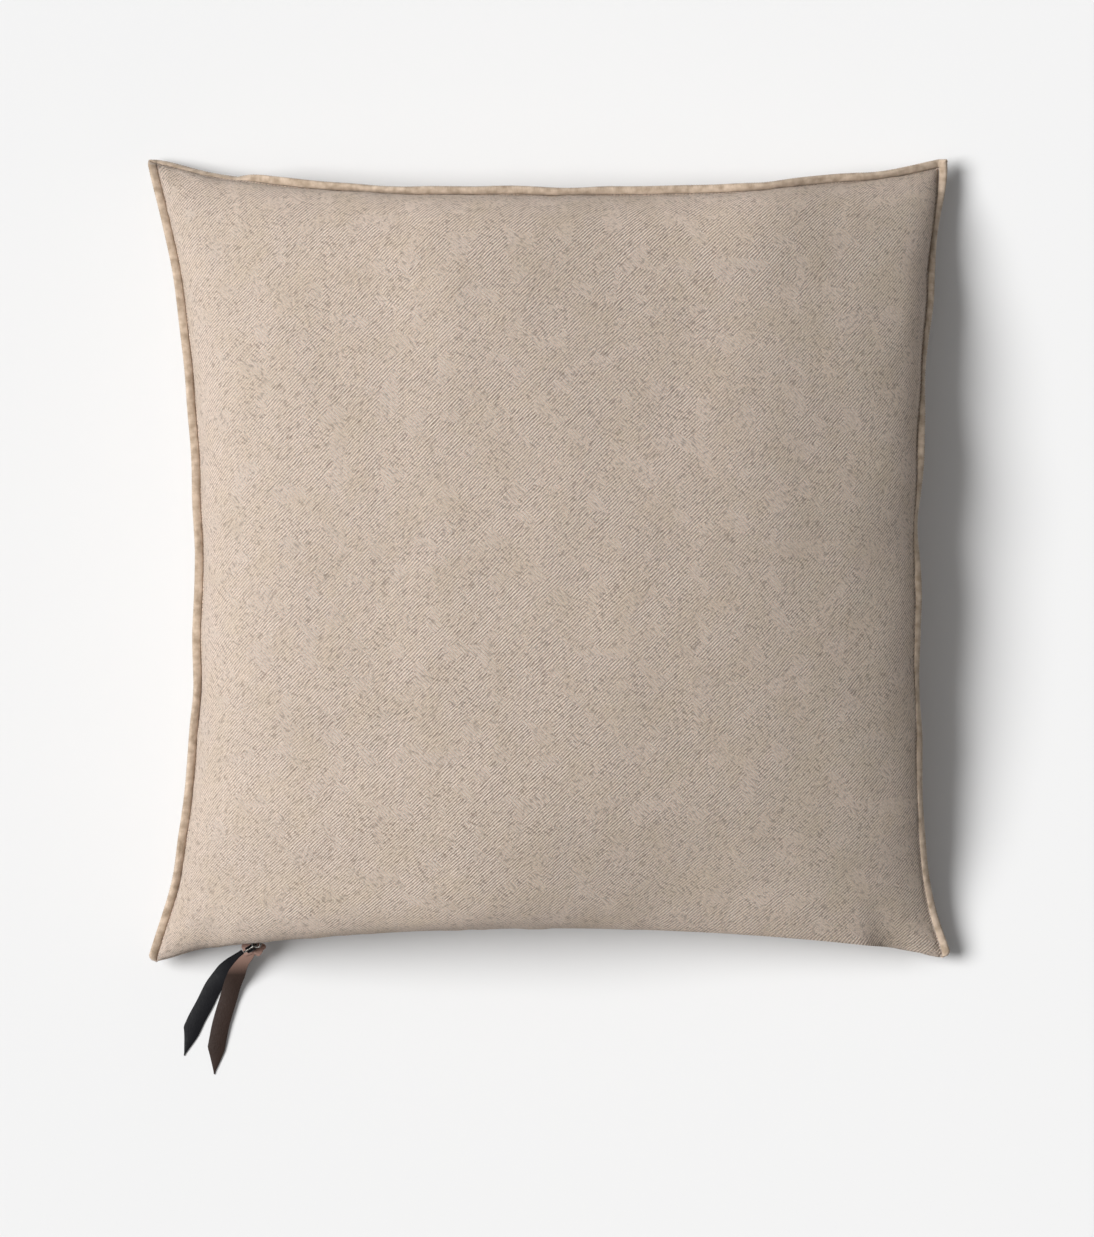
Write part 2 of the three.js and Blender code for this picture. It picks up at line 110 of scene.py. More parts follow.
# A sheet of columns by rows cells, each corner moved to place(column, row).
def mappedGrid(columns, rows, place, closed=False, capped=False):
    shape = bmesh.new()
    bmesh.ops.create_grid(shape, x_segments=columns, y_segments=rows, size=1)
    for vert in shape.verts:
        column = round((vert.co.x + 1) / 2 * columns)
        row = round((vert.co.y + 1) / 2 * rows)
        vert.co = place(column, row)
    if closed:
        bmesh.ops.remove_doubles(shape, verts=shape.verts, dist=1e-6)
        if capped:
            bmesh.ops.holes_fill(shape, edges=[edge for edge in shape.edges if edge.is_boundary])
        bmesh.ops.recalc_face_normals(shape, faces=shape.faces)
    return shape


# A closed body swept through frames of (origin, sideways, upwards), each with its own section.
def sweptBody(frames, sectionAt, loop=False):
    count = len(frames)
    points = len(sectionAt(0))

    def place(column, row):
        index = column % count
        origin, sideways, upwards = frames[index]
        a, b = sectionAt(index)[row % points]
        return origin + sideways * a + upwards * b

    return mappedGrid(count if loop else count - 1, points, place, closed=True, capped=not loop)


# Rounds edges off with a few cuts.
def soften(shape, edges, offset, segments):
    bmesh.ops.bevel(shape, geom=edges, offset=offset, segments=segments, profile=0.5,
                    affect="EDGES", material=-1)


# Joins shapes into one mesh.
def joinShapes(shapes):
    whole = bmesh.new()
    for shape in shapes:
        mesh = bpy.data.meshes.new("part")
        shape.to_mesh(mesh)
        shape.free()
        whole.from_mesh(mesh)
        bpy.data.meshes.remove(mesh)
    return whole


def blockShape(size, offset, segments=2):
    shape = bmesh.new()
    bmesh.ops.create_cube(shape, size=1)
    bmesh.ops.scale(shape, verts=shape.verts, vec=size)
    if offset:
        soften(shape, shape.edges, offset, segments)
    return shape


def roundSection(radius, sides):
    turns = [2 * math.pi * k / sides for k in range(sides)]
    return [(radius * math.cos(t), radius * math.sin(t)) for t in turns]


# A flat strip's section with rounded edges.
def stripSection(width, thickness):
    a, b = width / 2, thickness / 2
    c = min(b, a) * 0.7
    nearEnd, nearFace = a - 0.25 * c, b - 0.3 * c
    half = [(a - c, -b), (nearEnd, -nearFace), (a, 0), (nearEnd, nearFace), (a - c, b), (0, b)]
    return half + [(-x, -y) for x, y in half]


# Directions along a line of points, for a strip that lies with its flat side towards lean.
def framesAlong(points, lean):
    frames = []
    for k, point in enumerate(points):
        ahead = points[min(k + 1, len(points) - 1)] - points[max(k - 1, 0)]
        sideways = ahead.cross(lean).normalized()
        frames.append((point, sideways, sideways.cross(ahead).normalized()))
    return frames


# A smooth line through a few points, evenly stepped.
def smoothLine(corners, count):
    fine, cuts = [], 20
    padded = [corners[0] * 2 - corners[1]] + corners + [corners[-1] * 2 - corners[-2]]
    for a, b, c, d in zip(padded, padded[1:], padded[2:], padded[3:]):
        for k in range(cuts):
            t = k / cuts
            bend = (2 * a - 5 * b + 4 * c - d) * t * t + (3 * b - a - 3 * c + d) * t ** 3
            fine.append(b + ((c - a) * t + bend) / 2)
    fine.append(corners[-1])
    gaps = np.cumsum([0] + [(b - a).length for a, b in zip(fine, fine[1:])])
    reach = np.linspace(0, gaps[-1], count)
    return [Vector(at) for at in zip(*(np.interp(reach, gaps, values) for values in zip(*fine)))]


def ripple(*at):
    return noise.noise(Vector((*at, 0, 0)[:3]))


def addPiece(name, shape, finish, body, replaced=(), sharp=None):
    mesh = bpy.data.meshes.new(name)
    if isinstance(shape, bmesh.types.BMesh):
        shape.to_mesh(mesh)
        shape.free()
    else:
        mesh = shape
        mesh.name = name
    mesh.materials.clear()
    mesh.materials.append(finish)
    mesh.shade_smooth()
    if sharp:
        mesh.set_sharp_from_angle(angle=math.radians(sharp))
    piece = bpy.data.objects.new(name, mesh)
    scene.collection.objects.link(piece)
    if body:
        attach(piece, body)
        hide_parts(*replaced)
    return piece


# Small helpers for materials


class Recipe:
    def __init__(self, name, colour, roughness, **shader):
        self.finish = bpy.data.materials.new(name)
        self.finish.use_nodes = True
        self.finish.diffuse_color = (*colour, 1)
        self.tree = self.finish.node_tree
        self.shader = self.tree.nodes["Principled BSDF"]
        self.shader.inputs["Base Color"].default_value = (*colour, 1)
        self.shader.inputs["Roughness"].default_value = roughness
        for key, value in shader.items():
            self.shader.inputs[key.replace("_", " ")].default_value = value

    def put(self, socket, value):
        if isinstance(value, bpy.types.NodeSocket):
            self.tree.links.new(value, socket)
        else:
            socket.default_value = value

    def add(self, kind, inputs, output=0, **settings):
        node = self.tree.nodes.new("ShaderNode" + kind)
        for key, value in settings.items():
            setattr(node, key, value)
        for key, value in inputs.items():
            self.put(node.inputs[key], value)
        return node.outputs[output]

    def math(self, operation, a, b=0.0, c=0.0):
        return self.add("Math", {0: a, 1: b, 2: c}, operation=operation)

    def mix(self, share, a, b):
        return self.add("Mix", {0: share, 6: a, 7: b}, output=2, data_type="RGBA")

    def parts(self, vector):
        split = self.tree.nodes.new("ShaderNodeSeparateXYZ")
        self.put(split.inputs[0], vector)
        return list(split.outputs)

    def scaled(self, vector, factor):
        return self.add("VectorMath", {0: vector, 3: factor}, operation="SCALE")

    def grain(self, vector, scale, detail=2.0, roughness=0.5):
        inputs = {"Vector": vector, "Scale": scale, "Detail": detail, "Roughness": roughness}
        return self.add("TexNoise", inputs)

    def spread(self, value, low, high, toLow=0.0, toHigh=1.0):
        return self.add("MapRange", {0: value, 1: low, 2: high, 3: toLow, 4: toHigh})

    def bump(self, height, distance, under=None):
        inputs = {"Height": height, "Distance": distance, "Strength": 1.0}
        if under is not None:
            inputs["Normal"] = under
        return self.add("Bump", inputs)

    def surface(self, colour=None, roughness=None, normal=None):
        for key, value in (("Base Color", colour), ("Roughness", roughness), ("Normal", normal)):
            if value is not None:
                self.put(self.shader.inputs[key], value)
        return self.finish


def tone(*levels):
    return tuple(((level / 255 + 0.055) / 1.055) ** 2.4 for level in levels)


def paint(*levels):
    return (*tone(*levels), 1)


linen = {
    "threadPitch": 0.74 * mm,
    "warp": paint(255, 244, 232),
    "weft": paint(255, 226, 205),
    "olive": paint(222, 202, 176),
    # painted shade: this dark colour is laid where the threads, the fuzz and the crinkles dip
    "gap": paint(112, 86, 68),
    "weaveDepth": 0.9 * mm,
    "crinkleDepth": 1.4 * mm,
    "fuzzDepth": 0.12 * mm,
    "threadSway": 1.6 * mm,
    "swayScale": 60,
    "ribPatches": 48,
    "mottleScale": 26,
    "fuzzScale": 620,
    "crinklePatches": 34,
    "crinkles": ((-44, 3.4, 560), (50, 2.8, 500)),  # turn in degrees, how long each is, how fine
}


def linenMaterial():
    r = Recipe("linen", tone(189, 171, 158), 0.92,
               Sheen_Weight=0.05, Sheen_Roughness=0.6, Specular_IOR_Level=0.12)
    place = r.add("UVMap", {}, uv_map="cloth")
    sway = r.add("TexNoise", {"Vector": place, "Scale": linen["swayScale"], "Detail": 3}, output=1)
    sway = r.add("VectorMath", {0: sway, 1: (0.5, 0.5, 0.5)}, operation="SUBTRACT")
    sway = r.scaled(sway, linen["threadSway"])
    swayed = r.add("VectorMath", {0: place, 1: sway}, operation="ADD")
    u, v, _ = r.parts(r.scaled(swayed, 1 / linen["threadPitch"]))
    columnOf, rowOf = r.math("FLOOR", u), r.math("FLOOR", v)

    def dome(value):  # height across one thread
        centred = r.math("MULTIPLY_ADD", r.math("FRACT", value), 2.0, -1.0)
        return r.math("SUBTRACT", 1.0, r.math("MULTIPLY", centred, centred))

    # Over two threads and under two, so the ribs slant; patches of the cloth slant the other way.
    turned = r.math("GREATER_THAN", r.grain(place, linen["ribPatches"], 1.0), 0.58)
    slant = r.math("MULTIPLY_ADD", turned, 2.0, -1.0)

    def lift(along, across, sign):
        phase = r.math("MULTIPLY_ADD", across, slant, along)
        wave = r.math("SINE", r.math("MULTIPLY", phase, math.pi / 2))
        return r.math("MULTIPLY_ADD", wave, 0.42 * sign, 0.58)

    def streak(across, along, reach, seed):  # one value for each thread, changing slowly along it
        lane = r.math("MULTIPLY", across, 0.731)
        slow = r.math("MULTIPLY", along, reach)
        return r.grain(r.add("CombineXYZ", {0: lane, 1: slow, 2: seed}), 1.0, 1.0)

    warpTone = streak(columnOf, v, 0.035, 3.3)
    weftTone = streak(rowOf, u, 0.025, 7.7)
    warpHeight = r.math("MULTIPLY", dome(u), lift(v, columnOf, 1))
    weftHeight = r.math("MULTIPLY", dome(v), lift(rowOf, u, -1))
    weftHeight = r.math("MULTIPLY", weftHeight, r.spread(weftTone, 0.3, 0.7, 0.92, 1.12))
    height = r.math("MAXIMUM", warpHeight, weftHeight)
    over = r.math("GREATER_THAN", warpHeight, weftHeight)
    warpColour = r.mix(r.spread(warpTone, 0.35, 0.65, 0.8, 1.05), linen["weft"], linen["warp"])
    weftColour = r.mix(r.spread(weftTone, 0.32, 0.68, 0.05, 0.25), linen["weft"], linen["warp"])
    colour = r.mix(over, weftColour, warpColour)
    # painted shade between the threads, where the weave is low
    colour = r.mix(r.spread(height, 0.2, 0.6, 0.8, 0.0), colour, linen["gap"])
    mottle = r.grain(place, linen["mottleScale"], 4.0, 0.6)
    colour = r.mix(r.spread(mottle, 0.42, 0.66, 0.0, 0.35), colour, linen["olive"])
    fuzz = r.grain(place, linen["fuzzScale"], 3.0, 0.7)
    # painted shade in the fuzz's hollows
    colour = r.mix(r.spread(fuzz, 0.35, 0.55, 0.25, 0.0), colour, linen["gap"])
    slants = []
    for turn, long, fineness in linen["crinkles"]:
        inputs = {"Vector": place, "Rotation": (0, 0, math.radians(turn)), "Scale": (1, long, 1)}
        slanted = r.add("Mapping", inputs, vector_type="TEXTURE")
        slants.append(r.grain(slanted, fineness, 2.0))
    patches = r.spread(r.grain(place, linen["crinklePatches"], 2.0), 0.4, 0.6)
    crinkle = r.add("Mix", {0: patches, 2: slants[0], 3: slants[1]}, data_type="FLOAT")
    # painted shade in the crinkles' valleys
    colour = r.mix(r.spread(crinkle, 0.36, 0.48, 0.4, 0.0), colour, linen["gap"])
    normal = r.bump(crinkle, linen["crinkleDepth"])
    normal = r.bump(height, linen["weaveDepth"], normal)
    normal = r.bump(fuzz, linen["fuzzDepth"], normal)
    return r.surface(colour, None, normal)


def threadMaterial():
    r = Recipe("overlockThread", tone(190, 171, 152), 0.85, Sheen_Weight=0.2, Specular_IOR_Level=0.2)
    place = r.add("TexCoord", {}, output=3)
    patch = r.grain(place, 160, 3.0)
    colour = r.mix(r.spread(patch, 0.3, 0.7), paint(150, 132, 113), paint(196, 177, 158))
    strand = r.grain(place, 2600, 2.0)
    return r.surface(colour, None, r.bump(strand, 0.15 * mm))


def plainCloth(name, light, dark, scale):
    r = Recipe(name, light[:3], 0.9, Sheen_Weight=0.1, Specular_IOR_Level=0.25)
    place = r.add("TexCoord", {}, output=3)
    ribs = [r.math("SINE", part) for part in r.parts(r.scaled(place, scale))]
    weave = r.math("MULTIPLY", r.math("ADD", ribs[0], ribs[2]), r.math("ADD", ribs[1], 1.4))
    # painted shade: the colour darkens where the ribs are low, in step with the bump
    colour = r.mix(r.spread(weave, -2, 2), dark, light)
    colour = r.mix(r.spread(r.grain(place, 300), 0.35, 0.7, 0, 0.3), colour, dark)
    return r.surface(colour, None, r.bump(weave, 0.06 * mm))


def metalMaterial(name, colour, scratched, roughness):
    r = Recipe(name, tone(*colour), roughness, Metallic=1.0)
    place = r.add("TexCoord", {}, output=3)
    wear = r.grain(place, 700, 4.0, 0.6)
    brushed = r.grain(r.add("Mapping", {"Vector": place, "Scale": (1, 6, 1)}), 1500, 2.0)
    shade = r.mix(r.spread(wear, 0.4, 0.7), paint(*colour), paint(*scratched))
    gloss = r.spread(brushed, 0.3, 0.7, roughness - 0.1, roughness + 0.15)
    return r.surface(shade, gloss, r.bump(wear, 0.03 * mm))


def leatherMaterial(name, deep, worn, roughness, pores, paintedHighlight=None):
    r = Recipe(name, tone(*deep), roughness, Specular_IOR_Level=0.12)
    place = r.add("TexCoord", {}, output=3)
    grain = r.add("TexVoronoi", {"Vector": place, "Scale": 900, "Randomness": 1.0}, feature="SMOOTH_F1")
    creases = r.grain(place, 240, 4.0, 0.6)
    cloud = r.grain(place, 60, 3.0)
    shade = r.mix(r.spread(cloud, 0.3, 0.75), paint(*deep), paint(*worn))
    shade = r.mix(r.spread(grain, 0.1, 0.6, 0.0, 0.35), paint(*worn), shade)
    if paintedHighlight:  # painted highlight where the strap bends up near the knot, as if in the key light, from one depth to another
        pale, start, full = paintedHighlight
        shade = r.mix(r.spread(r.parts(place)[1], start, full, 0.0, 0.9), shade, paint(*pale))
    normal = r.bump(creases, 0.25 * mm * pores)
    normal = r.bump(grain, 0.14 * mm * pores, normal)
    gloss = r.spread(creases, 0.3, 0.7, roughness - 0.08, roughness + 0.12)
    return r.surface(shade, gloss, normal)


# The cover's outline, as its seam and zip run

cover = {
    "seamHalf": 0.3115,  # middle to the stitch line at a corner
    "rearHalf": 0.3115,
    "frontHalf": 0.3173,
    "crownHeight": 0.187,  # before it swells
    "seamHeight": 0.078,
    "cornerHeight": 0.018,
    "sideDraw": {"left": 0.035, "right": 0.0195, "rear": 0.022},
    "sideBow": {"left": (2.9, 2.2), "right": (5.0, 1.7), "rear": (2.8, 2.8)},
    "sideWave": 1.1 * mm,  # the seam wanders this far in plan
    "sideLift": 3.0 * mm,  # and this far up and down
    "cloth": 0.75 * mm,
    "layer": 0.95 * mm,  # seam's middle to the outside of one layer
    "allowance": 6.0 * mm,
    "seamPower": 2.4,  # the higher, the longer the seam stays level
    "waveSpan": 0.32,  # half a side
    "belly": 0.110,
    "crownPower": 0.31,  # the lower, the squarer the crown's shoulders
    "bellyPower": 0.4,
    "slack": (0.42, -0.25, 0.75),  # how much rounder the right half is: by, from, over
    "cells": 96,
    "swellLimit": 8 * mm,
    "evening": 22,  # passes that even out the swell
}
hem = {
    "opening": 6.4 * mm,  # middle of the zip to the hem's edge
    "width": 10 * mm,
    "reach": 0.2515,
    "closing": 0.032,
    "local": 40,  # the higher, the nearer to the rim the opening's ends stay
}

zipJoint = next(joint for joint in frame["joints"] if joint["name"] == "zip_run")
arcCentre = np.array(zipJoint["pos_m"], float)
arcAxis = -np.array(zipJoint["axis"], float)
arcUp = np.cross(arcAxis, (1, 0, 0))
arcUp /= np.linalg.norm(arcUp)
zipMiddle = np.array((0, -0.2953, 0.072))
arcRadius = np.linalg.norm(zipMiddle - arcCentre)
zipLean = math.radians(27)
xAxis, zAxis = np.array((1.0, 0, 0)), np.array((0, 0, 1.0))


def zipDirections(run):
    angle = np.asarray(run, float)[..., None] / arcRadius
    radial = np.cos(angle) * arcUp + np.sin(angle) * xAxis
    along = np.cos(angle) * xAxis - np.sin(angle) * arcUp
    across = radial * math.cos(zipLean) + arcAxis * math.sin(zipLean)
    out = arcAxis * math.cos(zipLean) - radial * math.sin(zipLean)
    return arcCentre + radial * arcRadius, along, across, out


# Points beside the zip: along it, across it towards the upper tape, and out of it.
def onZip(run, across, out):
    origin, _, upward, outward = zipDirections(run)
    return origin + upward * np.asarray(across)[..., None] + outward * np.asarray(out)[..., None]


# Steps across a face that grow finer towards its rims.
def rimSteps(cells):
    return np.sin((np.arange(cells + 1) / cells - 0.5) * math.pi)


def eased(share):
    share = np.clip(share, 0, 1)
    return share * share * (3 - 2 * share)


def openness(run):
    return 1 - eased((np.abs(run) - hem["reach"]) / hem["closing"])


def zipRun(t):
    return arcRadius * np.arcsin(cover["seamHalf"] * t / arcRadius)


def seamRise(t):
    rise = cover["seamHeight"] - cover["cornerHeight"]
    return cover["cornerHeight"] + rise * (1 - np.abs(t) ** cover["seamPower"])


def wander(side, t, seed, length):
    values = [ripple(x * cover["waveSpan"] / length, seed) for x in t]
    return np.array(values) * (1 - np.abs(t) ** 8)


seeds = {"left": 1.7, "right": 5.2, "rear": 9.4}


def seamLine(side, t):
    bow = np.where(t < 0, *cover["sideBow"][side])
    draw = cover["sideDraw"][side] * (1 - np.abs(t) ** bow)
    draw = draw + cover["sideWave"] * 2 * wander(side, t, seeds[side], 0.055)
    rise = seamRise(t) + cover["sideLift"] * 2 * wander(side, t, seeds[side] + 20, 0.08)
    if side == "rear":
        return np.stack([cover["seamHalf"] * t, cover["rearHalf"] - draw, rise], -1)
    depth = -cover["frontHalf"] + (cover["frontHalf"] + cover["rearHalf"]) * (t + 1) / 2
    x = -cover["seamHalf"] + draw if side == "left" else cover["seamHalf"] - draw
    return np.stack([x, depth, rise], -1)


# The front rim: the hem's fold beside the zip, and the seam past it. Soft blends the two.
def frontRim(t, face, soft=False):
    run = zipRun(t)
    opened = 1 - np.abs(t) ** 5 if soft else openness(run)
    point = onZip(run, face * opened * (hem["opening"] + hem["width"]), 0)
    point[..., 2] += face * cover["layer"] * (1 - opened)
    return point


# Each corner ends in a soft tip, drawn out a little further: where, which way and how far round.
sideEnd, frontEnd, rearEnd = cover["seamHalf"], -cover["frontHalf"], cover["rearHalf"]
tips = [
    ((-sideEnd, frontEnd), (-3.4, -6.8), 26), ((sideEnd, frontEnd), (4.8, -3.4), 30),
    ((-sideEnd, rearEnd), (-2.8, 4.2), 30), ((sideEnd, rearEnd), (1.6, 1.0), 30),
]


def tipped(points):
    shifted = np.array(points, float)
    for (x, y), (dx, dy), reach in tips:
        gap = np.hypot(points[..., 0] - x, points[..., 1] - y) / (reach * mm)
        share = np.exp(-gap * gap)[..., None]
        shifted += share * np.array((dx, dy, 0)) * mm
    return shifted


def between(share, low, high):
    return ((1 - share) * low + (1 + share) * high) / 2


# The outside of one face for u and v from -1 to 1: the four rims blended, plus crown or belly.
def facePoints(u, v, face, lift=None):
    layer = cover["layer"] if lift is None else lift
    u, v = u[:, None], v[None]
    front, rear = frontRim(u[:, 0], face, True)[:, None], seamLine("rear", u[:, 0])[:, None]
    nearRim = (frontRim(u[:, 0], face)[:, None] - front) * ((1 - v[..., None]) / 2) ** hem["local"]
    left, right = seamLine("left", v[0])[None], seamLine("right", v[0])[None]
    ends = {(side, t): seamLine(side, np.array([t]))[0] for side in ("left", "right") for t in (-1.0, 1.0)}
    u3, v3 = u[..., None], v[..., None]
    west = between(v3, ends["left", -1.0], ends["left", 1.0])
    east = between(v3, ends["right", -1.0], ends["right", 1.0])
    blend = between(v3, front, rear) + between(u3, left, right) - between(u3, west, east) + nearRim
    rim = seamRise(u * v) + between(v, 0, rear[..., 2] - seamRise(u)) + face * layer
    rim = rim + between(u, left[..., 2] - seamRise(v), right[..., 2] - seamRise(v))
    frontLift = front[..., 2] - seamRise(u) - face * layer
    rim = rim + frontLift * ((1 - v) / 2) ** 3 + nearRim[..., 2]
    slack, start, over = cover["slack"]
    slack = slack * eased((u - start) / over) * np.clip(1 - v / 1.5, 0, 1)
    power = cover["crownPower"] + slack if face > 0 else cover["bellyPower"]
    swell = np.maximum((1 - u * u) * (1 - v * v), 0) ** power
    if face > 0:
        height = rim + (cover["crownHeight"] - cover["seamHeight"] - layer) * swell
    else:
        height = np.maximum(rim - cover["belly"] * swell, 0)
    return np.concatenate([blend[..., :2], height[..., None]], -1)


flange = {
    "tilt": {"left": 0.3, "right": -0.9, "rear": 0.5},  # radians up from level
    "cornerTilt": {"left": 0.35, "right": 0.45, "rear": 0.3},
    "sway": 0.8,
    "cornerPower": 14,  # the higher, the nearer to the corners their tilt stays
    "frontRound": 6 * mm,
    "halfSide": 0.315,
    "fold": (1.5, 0.72, 0.08),  # the rear allowance folds down at its left: by, from, over
}
outward = {"left": -xAxis, "right": xAxis, "rear": np.array((0, 1.0, 0))}


# The seam allowance's own directions: out from the seam, and up from its middle.
def allowanceFrame(side, t):
    level, corner = flange["tilt"][side], flange["cornerTilt"][side]
    tilt = level + (corner - level) * np.abs(t) ** flange["cornerPower"]
    tilt = tilt + flange["sway"] * wander(side, t, seeds[side] + 40, 0.06)
    if side == "rear":
        fold, start, over = flange["fold"]
        tilt = tilt - fold * np.clip((-t - start) / over, 0, 1)
    tilt = tilt[..., None]
    out = np.cos(tilt) * outward[side] + np.sin(tilt) * zAxis
    if side != "rear":  # rounded off at the front corner
        ahead = np.clip((t + 1) * flange["halfSide"] / flange["frontRound"], 0, 1)
        out = out * np.sqrt(1 - (1 - ahead) ** 2)[..., None]
    up = np.cos(tilt) * zAxis - np.sin(tilt) * outward[side]
    return seamLine(side, t), out, up


# Past a side's stitch line the cloth turns into the allowance: (out, up) in millimetres.
allowanceRows = [(0.5, 0.55), (1.6, 0.9), (3.8, 0.95), (6.0, 0.95)]
# Past the front rim it becomes the hem: across and out where open, then where closed.
hemRows = [
    (12.0, 0.0, 0.45, -0.3), (8.6, 0.0, 0.1, -1.0), (7.2, 0.0, 0.1, -1.8), (6.6, -0.25, 0.1, -2.6),
    (6.4, -0.8, 0.1, -3.4), (6.6, -1.35, 0.1, -4.2), (7.2, -1.6, 0.1, -5.0), (12.5, -1.6, 0.1, -6.0),
]


# One face of the cover as a sheet of cells: inner cells, then allowance and hem rows round them.
def facePlaces(face):
    cells = cover["cells"]
    steps = rimSteps(cells)
    inner = facePoints(steps, steps, face)
    extra, front = len(allowanceRows), len(hemRows)
    size = (cells + 1 + 2 * extra, cells + 1 + front + extra)
    clampU = np.clip(np.arange(size[0]) - extra, 0, cells)
    clampV = np.clip(np.arange(size[1]) - front, 0, cells)
    places = inner[np.ix_(clampU, clampV)].copy()
    rims = {side: allowanceFrame(side, steps[clampU if side == "rear" else clampV]) for side in outward}
    for k, (out, up) in enumerate(allowanceRows):
        for side in ("left", "right"):
            column = extra - 1 - k if side == "left" else extra + cells + 1 + k
            seam, outDir, upDir = rims[side]
            shift = outDir * out * mm + upDir * up * mm * face
            shift[..., 2] += seam[:, 2] - inner[0 if side == "left" else cells][clampV][:, 2]
            places[column] += shift
        seam, outDir, upDir = rims["rear"]
        row = front + cells + 1 + k
        level = upDir * up * mm * face
        level[..., 2] += seam[:, 2] - inner[clampU, cells, 2]
        level[:extra] = level[-extra:] = 0
        places[:, row] += outDir * out * mm + level
    run = zipRun(steps[clampU])
    opened = openness(run)[:, None]
    for k, (across, out, closedAcross, closedOut) in enumerate(hemRows):
        lifted = onZip(run, face * across * mm, out * mm)
        shut = onZip(run, face * closedAcross * mm, closedOut * mm)
        row = lifted * opened + shut * (1 - opened)
        places[:, front - 1 - k] += row - inner[clampU, 0]
    return tipped(places), size


# Distances along the cloth from its middle, so the threads keep their pitch over the crown.
def clothMeasure(places):
    def reach(axis):
        gaps = np.linalg.norm(np.diff(places, axis=axis), axis=-1)
        total = np.insert(np.cumsum(gaps, axis=axis), 0, 0, axis=axis)
        return total - np.take(total, [total.shape[axis] // 2], axis=axis)

    return reach(0), reach(1)


def evaluated(piece):
    return piece.evaluated_get(bpy.context.evaluated_depsgraph_get())


def readVectors(store, key):
    values = np.empty(len(store) * 3)
    store.foreach_get(key, values)
    return values.reshape(-1, 3)


def writePoints(mesh, points):
    mesh.vertices.foreach_set("co", np.ascontiguousarray(points).ravel())
    mesh.update()


blowing = {
    "quality": 5,
    "mass": 0.3,
    "tension_stiffness": 25,
    "compression_stiffness": 25,
    "shear_stiffness": 12,
    "bending_stiffness": 0.6,
    "use_pressure": True,
    "uniform_pressure_force": 4.0,
    "vertex_group_mass": "pins",
}
blowSteps = 20


# Blows a pinned sheet out with air pressure, and keeps each point within the limit.
def inflate(piece, free, columns, rows):
    start = readVectors(piece.data.vertices, "co")
    pins = piece.vertex_groups.new(name="pins")
    pins.add([int(k) for k in np.nonzero(~free)[0]], 1.0, "REPLACE")
    cloth = piece.modifiers.new("inflate", "CLOTH")
    for key, value in blowing.items():
        setattr(cloth.settings, key, value)
    cloth.settings.effector_weights.gravity = 0
    cloth.point_cache.frame_start, cloth.point_cache.frame_end = 1, blowSteps
    for step in range(1, blowSteps + 1):
        scene.frame_set(step)
    moved = readVectors(evaluated(piece).data.vertices, "co") - start
    piece.modifiers.remove(cloth)
    piece.vertex_groups.clear()
    scene.frame_set(1)
    length = np.linalg.norm(moved, axis=1, keepdims=True)
    moved *= np.minimum(1, cover["swellLimit"] / np.maximum(length, 1e-9))
    moved[~free] = 0
    sheet = np.zeros((columns.max() + 1, rows.max() + 1, 3))
    sheet[columns, rows] = moved
    for _ in range(cover["evening"]):
        sheet[1:-1, 1:-1] = (sheet[:-2, 1:-1] + sheet[2:, 1:-1] + sheet[1:-1, :-2] + sheet[1:-1, 2:]) / 4
        sheet[columns[~free], rows[~free]] = 0
    writePoints(piece.data, start + sheet[columns, rows])


def coverFace(name, face, finish, node):
    places, size = facePlaces(face)
    where = []

    def place(column, row):
        where.append((column, row))
        return Vector(places[column, row])

    shape = mappedGrid(size[0] - 1, size[1] - 1, place)
    mesh = bpy.data.meshes.new(name)
    if face < 0:
        bmesh.ops.reverse_faces(shape, faces=shape.faces)
    shape.to_mesh(mesh)
    shape.free()
    piece = bpy.data.objects.new(name, mesh)
    scene.collection.objects.link(piece)
    columns, rows = np.array(where).T
    extra, front, cells = len(allowanceRows), len(hemRows), cover["cells"]
    free = (columns > extra) & (columns < extra + cells) & (rows > front) & (rows < front + cells)
    inflate(piece, free, columns, rows)
    placed = places.copy()
    placed[columns, rows] = readVectors(mesh.vertices, "co")
    alongU, alongV = clothMeasure(placed)
    seamGaps = {
        "gapLeft": alongU - alongU[extra], "gapRight": alongU[extra + cells] - alongU,
        "gapRear": alongV[:, [front + cells]] - alongV, "gapFront": alongV - alongV[:, [front]],
        "clothU": alongU, "clothV": alongV,
    }
    for key, values in seamGaps.items():
        store = mesh.attributes.new(key, "FLOAT", "POINT")
        store.data.foreach_set("value", values[columns, rows].astype(np.float32))
    smooth = piece.modifiers.new("smooth", "SUBSURF")
    smooth.levels = smooth.render_levels = 1
    smooth.boundary_smooth = "PRESERVE_CORNERS"
    fine = bpy.data.meshes.new_from_object(evaluated(piece))
    bpy.data.objects.remove(piece)
    read = {}
    for key in seamGaps:
        values = np.empty(len(fine.vertices), np.float32)
        fine.attributes[key].data.foreach_get("value", values)
        read[key] = values
        fine.attributes.remove(fine.attributes[key])
    settle(fine, face, read)
    threads = fine.uv_layers.new(name="cloth")
    corners = np.empty(len(fine.loops), np.int32)
    fine.loops.foreach_get("vertex_index", corners)
    flat = np.stack([read["clothU"][corners], read["clothV"][corners]], -1)
    threads.data.foreach_set("uv", flat.ravel())
    made = addPiece(name, fine, finish, "cover", [node])
    wall = made.modifiers.new("wall", "SOLIDIFY")
    wall.thickness = cover["cloth"]
    wall.offset = -1


# The small unevenness that feathers and stitching give: soft lumps, and puckers at the seams.
feel = {
    "lump": 2.2 * mm,
    "lumpRate": 9,  # for each metre of cloth
    "dimple": 0.77 * mm,
    "dimpleRate": 30,
    "flatRim": 0.03,  # lumps fade out this near to a seam
    "pucker": 1.44 * mm,
    "puckerRates": (55, 120),
    "puckerReach": 0.016,
    "puckerEnd": 0.06,
    "stitchGrip": 0.004,  # the stitches hold the cloth flat this near
}


